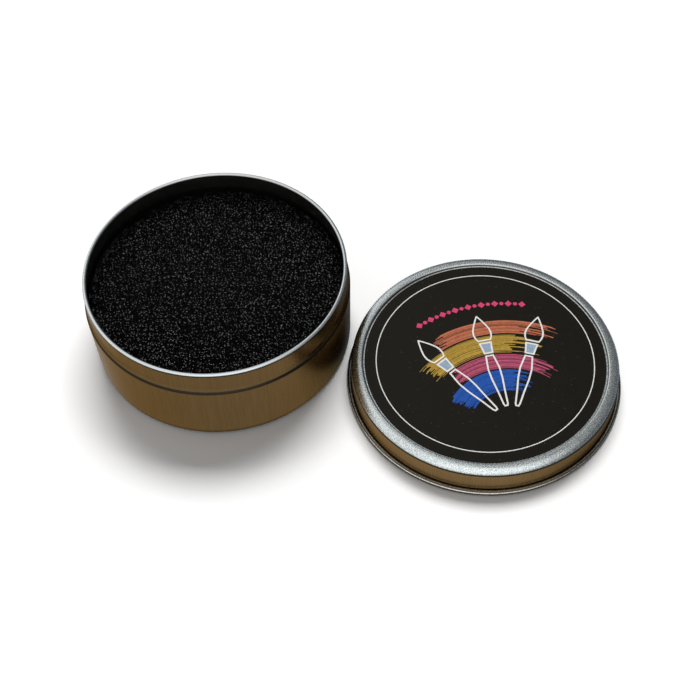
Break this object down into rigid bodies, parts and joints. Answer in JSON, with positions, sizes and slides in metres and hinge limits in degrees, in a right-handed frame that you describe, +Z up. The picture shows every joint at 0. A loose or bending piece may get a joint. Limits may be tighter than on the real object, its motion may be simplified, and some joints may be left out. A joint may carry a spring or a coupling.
{
  "type": "brush cleaning tin with lid",
  "caption": "Round slip-lid metal tin holding a lift-out coarse scrub sponge for dry-cleaning brushes, with its labelled lid off and lying beside it.",
  "frame": {"origin": "centre of the tin's underside, on the surface it rests on", "axes": "+Z up along the tin's axis; +X towards the side where the lid lies; +Y away from the viewer"},
  "size_m": [0.1738, 0.1127, 0.0322],
  "materials": {
    "tinplate": "satin drawn tinplate",
    "label_vinyl": "satin printed vinyl",
    "glue": "acrylic adhesive",
    "scrub_foam": "coarse open-cell foam",
    "soft_foam": "fine soft foam"
  },
  "bodies": {
    "tin": {"tin_base": "tinplate"},
    "lid": {"lid_shell": "tinplate", "label_glue": "glue", "label_film": "label_vinyl"},
    "sponge": {"backing_pad": "soft_foam", "bond_web": "glue", "scrub_sponge": "scrub_foam"}
  },
  "joints": [
    {"name": "lid_lift", "type": "slide", "parent": "tin", "child": "lid", "axis": [0, 0, 1], "range_m": [0, 0.06]},
    {"name": "sponge_lift", "type": "slide", "parent": "tin", "child": "sponge", "axis": [0, 0, 1], "range_m": [0, 0.045]}
  ]
}
